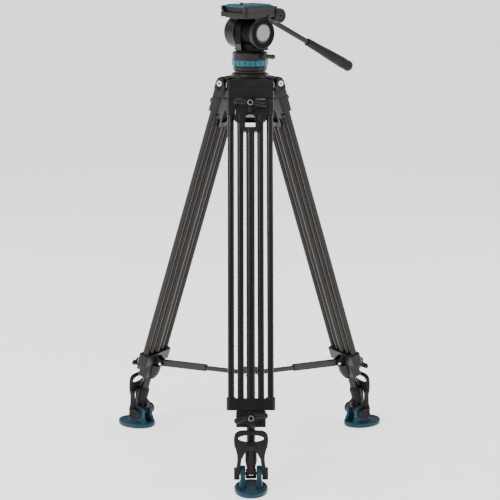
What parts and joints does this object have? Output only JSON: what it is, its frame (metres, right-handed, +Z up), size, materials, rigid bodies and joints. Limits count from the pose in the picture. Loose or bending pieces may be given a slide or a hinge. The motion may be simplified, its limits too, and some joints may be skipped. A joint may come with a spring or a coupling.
{
  "type": "video tripod with fluid head",
  "caption": "Standing camera support with telescoping twin-tube legs, a mid-level spreader, strapped foot pads and a fluid pan and tilt head with a pan bar",
  "frame": {"origin": "on the floor, at the centre of the object's bounding box seen from above; the tripod's own axis is 35.1 mm behind it on +Y", "axes": "+Z up; the front leg points to -Y, the other two legs to +X+Y and -X+Y, and the pan bar to +X+Y"},
  "size_m": [0.5786, 0.5904, 0.9355],
  "materials": {
    "black_plastic": "satin moulded plastic",
    "cast_black": "satin black paint on a casting",
    "tube": "dark grey anodised",
    "rubber": "matt rubber",
    "blue_plastic": "glossy translucent blue plastic",
    "blue_metal": "blue anodised",
    "steel": "bright steel"
  },
  "bodies": {
    "crown": {"spider": "cast_black", "front_pivot_axle": "steel", "right_pivot_axle": "steel", "left_pivot_axle": "steel"},
    "front_leg": {"front_shoulder": "cast_black", "front_outer_tubes": "tube", "front_collar": "black_plastic"},
    "front_middle_section": {"front_middle_bracket": "cast_black", "front_middle_tubes": "tube", "front_middle_block": "cast_black"},
    "front_lower_section": {"front_lower_tube": "tube", "front_foot_boot": "rubber"},
    "front_upper_lock_knob_body": {"front_upper_lock_knob": "black_plastic"},
    "front_lower_lock_knob_body": {"front_lower_lock_knob": "black_plastic"},
    "front_foot_pad_body": {"front_foot_pad": "blue_plastic"},
    "front_foot_strap_body": {"front_foot_strap": "rubber"},
    "front_arm_outer_body": {"front_arm_outer": "cast_black"},
    "front_arm_inner_body": {"front_arm_inner": "tube"},
    "right_leg": {"right_shoulder": "cast_black", "right_outer_tubes": "tube", "right_collar": "black_plastic"},
    "right_middle_section": {"right_middle_bracket": "cast_black", "right_middle_tubes": "tube", "right_middle_block": "cast_black"},
    "right_lower_section": {"right_lower_tube": "tube", "right_foot_boot": "rubber"},
    "right_upper_lock_knob_body": {"right_upper_lock_knob": "black_plastic"},
    "right_lower_lock_knob_body": {"right_lower_lock_knob": "black_plastic"},
    "right_foot_pad_body": {"right_foot_pad": "blue_plastic"},
    "right_foot_strap_body": {"right_foot_strap": "rubber"},
    "right_arm_outer_body": {"right_arm_outer": "cast_black"},
    "right_arm_inner_body": {"right_arm_inner": "tube"},
    "left_leg": {"left_shoulder": "cast_black", "left_outer_tubes": "tube", "left_collar": "black_plastic"},
    "left_middle_section": {"left_middle_bracket": "cast_black", "left_middle_tubes": "tube", "left_middle_block": "cast_black"},
    "left_lower_section": {"left_lower_tube": "tube", "left_foot_boot": "rubber"},
    "left_upper_lock_knob_body": {"left_upper_lock_knob": "black_plastic"},
    "left_lower_lock_knob_body": {"left_lower_lock_knob": "black_plastic"},
    "left_foot_pad_body": {"left_foot_pad": "blue_plastic"},
    "left_foot_strap_body": {"left_foot_strap": "rubber"},
    "left_arm_outer_body": {"left_arm_outer": "cast_black"},
    "left_arm_inner_body": {"left_arm_inner": "tube"},
    "spreader_hub_body": {"spreader_hub": "cast_black"},
    "ball_seat": {"half_ball": "cast_black"},
    "tie_down_knob_body": {"tie_down_knob": "black_plastic"},
    "pan_head": {"pan_base": "cast_black", "tilt_housing": "black_plastic"},
    "drag_ring_body": {"drag_ring": "blue_metal"},
    "pan_lever_body": {"pan_lever": "black_plastic"},
    "tilt_head": {"tilt_cradle": "cast_black"},
    "plate_body": {"quick_plate": "blue_metal"},
    "camera_screw_body": {"camera_screw": "steel"},
    "plate_knob_body": {"plate_knob": "black_plastic"},
    "tilt_lock_body": {"tilt_lock": "black_plastic"},
    "pan_handle": {"pan_bar": "tube", "grip": "rubber"}
  },
  "joints": [
    {"name": "front_leg_fold", "type": "hinge", "parent": "crown", "child": "front_leg", "pos_m": [0, -0.00934, 0.771], "axis": [1, 0, 0], "range_deg": [0, 12]},
    {"name": "front_middle_section_slide", "type": "slide", "parent": "front_leg", "child": "front_middle_section", "axis": [0, -0.3074, -0.9516], "range_m": [0, 0.45]},
    {"name": "front_lower_section_slide", "type": "slide", "parent": "front_middle_section", "child": "front_lower_section", "axis": [0, -0.3074, -0.9516], "range_m": [0, 0.45]},
    {"name": "front_upper_lock_turn", "type": "hinge", "parent": "front_middle_section", "child": "front_upper_lock_knob_body", "pos_m": [0, -0.0392, 0.73808], "axis": [0, -0.9516, 0.3074], "range_deg": [0, 90]},
    {"name": "front_lower_lock_turn", "type": "hinge", "parent": "front_middle_section", "child": "front_lower_lock_knob_body", "pos_m": [0, -0.24265, 0.14627], "axis": [0, -0.9516, 0.3074], "range_deg": [0, 30]},
    {"name": "front_foot_pad_tilt", "type": "hinge", "parent": "front_lower_section", "child": "front_foot_pad_body", "pos_m": [0, -0.23894, 0.0323], "axis": [1, 0, 0], "range_deg": [-25, 25]},
    {"name": "front_foot_strap_swing", "type": "hinge", "parent": "front_lower_section", "child": "front_foot_strap_body", "pos_m": [0, -0.23894, 0.0323], "axis": [1, 0, 0], "range_deg": [0, 60]},
    {"name": "front_arm_lift", "type": "hinge", "parent": "front_leg", "child": "front_arm_outer_body", "pos_m": [0, -0.18379, 0.14954], "axis": [1, 0, 0], "range_deg": [0, 44.99]},
    {"name": "front_arm_telescope", "type": "slide", "parent": "front_arm_outer_body", "child": "front_arm_inner_body", "axis": [0, -0.9993, -0.0368], "range_m": [0, 0.0781]},
    {"name": "right_leg_fold", "type": "hinge", "parent": "crown", "child": "right_leg", "pos_m": [0.03845, 0.05726, 0.771], "axis": [-0.5, 0.866, 0], "range_deg": [0, 12]},
    {"name": "right_middle_section_slide", "type": "slide", "parent": "right_leg", "child": "right_middle_section", "axis": [0.2662, 0.1537, -0.9516], "range_m": [0, 0.45]},
    {"name": "right_lower_section_slide", "type": "slide", "parent": "right_middle_section", "child": "right_lower_section", "axis": [0.2662, 0.1537, -0.9516], "range_m": [0, 0.45]},
    {"name": "right_upper_lock_turn", "type": "hinge", "parent": "right_middle_section", "child": "right_upper_lock_knob_body", "pos_m": [0.06431, 0.07219, 0.73808], "axis": [0.8241, 0.4758, 0.3074], "range_deg": [0, 90]},
    {"name": "right_lower_lock_turn", "type": "hinge", "parent": "right_middle_section", "child": "right_lower_lock_knob_body", "pos_m": [0.2405, 0.17391, 0.14627], "axis": [0.8241, 0.4758, 0.3074], "range_deg": [0, 30]},
    {"name": "right_foot_pad_tilt", "type": "hinge", "parent": "right_lower_section", "child": "right_foot_pad_body", "pos_m": [0.23729, 0.17206, 0.0323], "axis": [-0.5, 0.866, 0], "range_deg": [-25, 25]},
    {"name": "right_foot_strap_swing", "type": "hinge", "parent": "right_lower_section", "child": "right_foot_strap_body", "pos_m": [0.23729, 0.17206, 0.0323], "axis": [-0.5, 0.866, 0], "range_deg": [0, 60]},
    {"name": "right_arm_lift", "type": "hinge", "parent": "right_leg", "child": "right_arm_outer_body", "pos_m": [0.18953, 0.14449, 0.14954], "axis": [-0.5, 0.866, 0], "range_deg": [0, 44.99]},
    {"name": "right_arm_telescope", "type": "slide", "parent": "right_arm_outer_body", "child": "right_arm_inner_body", "axis": [0.8654, 0.4997, -0.0368], "range_m": [0, 0.0781]},
    {"name": "left_leg_fold", "type": "hinge", "parent": "crown", "child": "left_leg", "pos_m": [-0.03845, 0.05726, 0.771], "axis": [-0.5, -0.866, 0], "range_deg": [0, 12]},
    {"name": "left_middle_section_slide", "type": "slide", "parent": "left_leg", "child": "left_middle_section", "axis": [-0.2662, 0.1537, -0.9516], "range_m": [0, 0.45]},
    {"name": "left_lower_section_slide", "type": "slide", "parent": "left_middle_section", "child": "left_lower_section", "axis": [-0.2662, 0.1537, -0.9516], "range_m": [0, 0.45]},
    {"name": "left_upper_lock_turn", "type": "hinge", "parent": "left_middle_section", "child": "left_upper_lock_knob_body", "pos_m": [-0.06431, 0.07219, 0.73808], "axis": [-0.8241, 0.4758, 0.3074], "range_deg": [0, 90]},
    {"name": "left_lower_lock_turn", "type": "hinge", "parent": "left_middle_section", "child": "left_lower_lock_knob_body", "pos_m": [-0.2405, 0.17391, 0.14627], "axis": [-0.8241, 0.4758, 0.3074], "range_deg": [0, 30]},
    {"name": "left_foot_pad_tilt", "type": "hinge", "parent": "left_lower_section", "child": "left_foot_pad_body", "pos_m": [-0.23729, 0.17206, 0.0323], "axis": [-0.5, -0.866, 0], "range_deg": [-25, 25]},
    {"name": "left_foot_strap_swing", "type": "hinge", "parent": "left_lower_section", "child": "left_foot_strap_body", "pos_m": [-0.23729, 0.17206, 0.0323], "axis": [-0.5, -0.866, 0], "range_deg": [0, 60]},
    {"name": "left_arm_lift", "type": "hinge", "parent": "left_leg", "child": "left_arm_outer_body", "pos_m": [-0.18953, 0.14449, 0.14954], "axis": [-0.5, -0.866, 0], "range_deg": [0, 44.99]},
    {"name": "left_arm_telescope", "type": "slide", "parent": "left_arm_outer_body", "child": "left_arm_inner_body", "axis": [-0.8654, 0.4997, -0.0368], "range_m": [0, 0.0781]},
    {"name": "hub_level", "type": "hinge", "parent": "front_arm_inner_body", "child": "spreader_hub_body", "pos_m": [0, 0.01906, 0.157], "axis": [1, 0, 0], "range_deg": [-57, 0]},
    {"name": "half_ball_level", "type": "hinge", "parent": "crown", "child": "ball_seat", "pos_m": [0, 0.03506, 0.799], "axis": [1, 0, 0], "range_deg": [-8, 8]},
    {"name": "tie_down_turn", "type": "hinge", "parent": "ball_seat", "child": "tie_down_knob_body", "pos_m": [0, 0.03506, 0.735], "axis": [0, 0, 1], "continuous": true},
    {"name": "pan_turn", "type": "hinge", "parent": "ball_seat", "child": "pan_head", "pos_m": [0, 0.03506, 0.83], "axis": [0, 0, 1], "continuous": true},
    {"name": "drag_ring_turn", "type": "hinge", "parent": "pan_head", "child": "drag_ring_body", "pos_m": [0, 0.03506, 0.813], "axis": [0, 0, 1], "continuous": true},
    {"name": "pan_lever_turn", "type": "hinge", "parent": "pan_head", "child": "pan_lever_body", "pos_m": [0.02728, 0.00581, 0.8265], "axis": [0.682, -0.7314, 0], "range_deg": [-40, 15]},
    {"name": "tilt_turn", "type": "hinge", "parent": "pan_head", "child": "tilt_head", "pos_m": [0, 0.03506, 0.872], "axis": [0.6388, -0.7694, 0], "range_deg": [-60, 60]},
    {"name": "plate_slide", "type": "slide", "parent": "tilt_head", "child": "plate_body", "axis": [0.7694, 0.6388, 0], "range_m": [-0.025, 0.0015]},
    {"name": "camera_screw_turn", "type": "hinge", "parent": "plate_body", "child": "camera_screw_body", "pos_m": [-0.01693, 0.02101, 0.925], "axis": [0, 0, 1], "continuous": true},
    {"name": "plate_knob_turn", "type": "hinge", "parent": "tilt_head", "child": "plate_knob_body", "pos_m": [0.05813, 0.03783, 0.906], "axis": [0.6388, -0.7694, 0], "range_deg": [0, 180]},
    {"name": "tilt_lock_turn", "type": "hinge", "parent": "tilt_head", "child": "tilt_lock_body", "pos_m": [0.03563, 0.01272, 0.903], "axis": [0.8988, -0.4384, 0], "range_deg": [-45, 45]},
    {"name": "pan_bar_swing", "type": "hinge", "parent": "tilt_head", "child": "pan_handle", "pos_m": [0.01302, 0.11644, 0.9086], "axis": [0.6388, -0.7694, 0], "range_deg": [-60, 60]}
  ],
  "couplings": [
    {"joint": "front_arm_lift", "follows": "front_leg_fold", "ratio": 3.7411},
    {"joint": "front_arm_telescope", "follows": "front_leg_fold", "m_per_rad": 0.37239},
    {"joint": "right_leg_fold", "follows": "front_leg_fold", "ratio": 1},
    {"joint": "right_arm_lift", "follows": "front_leg_fold", "ratio": 3.7411},
    {"joint": "right_arm_telescope", "follows": "front_leg_fold", "m_per_rad": 0.37239},
    {"joint": "left_leg_fold", "follows": "front_leg_fold", "ratio": 1},
    {"joint": "left_arm_lift", "follows": "front_leg_fold", "ratio": 3.7411},
    {"joint": "left_arm_telescope", "follows": "front_leg_fold", "m_per_rad": 0.37239},
    {"joint": "hub_level", "follows": "front_leg_fold", "ratio": -4.7411}
  ]
}
